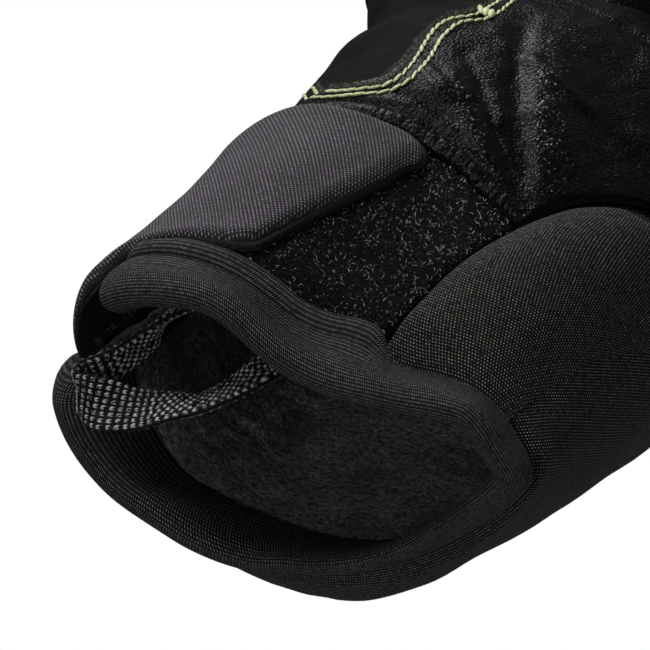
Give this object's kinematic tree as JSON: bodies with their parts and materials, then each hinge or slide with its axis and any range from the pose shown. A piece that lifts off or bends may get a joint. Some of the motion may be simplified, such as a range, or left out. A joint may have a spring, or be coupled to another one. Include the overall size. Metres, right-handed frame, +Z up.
{
  "type": "climbing glove",
  "caption": "Short-cuff full-finger climbing glove for the left hand, leather palm, woven back, wrist strap and webbing pull loop, lying palm up.",
  "frame": {"origin": "middle of the flat patch of the back of the hand that the glove rests on", "axes": "+Y from the wrist mouth to the fingertips, +X to the little-finger side, +Z up, out of the palm"},
  "size_m": [0.1204, 0.2452, 0.0792],
  "materials": {
    "stretch_weave": "matte stretch weave with small grey dots in diagonal rows",
    "hem_knit": "matte fine rib knit",
    "palm_leather": "pebbled goat leather, semi-gloss on its ridges",
    "fleece": "brushed fleece",
    "pile": "black looped pile with short grey glints",
    "strap_knit": "smooth laminated knit",
    "webbing": "coarse woven webbing, black and grey yarns",
    "suede": "matte suede",
    "lime_thread": "pale lime sewing thread"
  },
  "bodies": {
    "root": {"cuff_shell": "stretch_weave", "cuff_hem": "hem_knit", "cuff_lining": "fleece", "hand_shell": "stretch_weave", "finger_index": "stretch_weave", "finger_middle": "stretch_weave", "finger_ring": "stretch_weave", "finger_little": "stretch_weave", "thumb": "suede", "leather_palm": "palm_leather", "leather_hem": "palm_leather", "leather_index": "palm_leather", "leather_middle": "palm_leather", "leather_ring": "palm_leather", "leather_little": "palm_leather", "pile_patch": "pile", "strap_hook": "strap_knit", "closure_strap": "strap_knit", "pull_loop": "webbing"}
  },
  "joints": []
}
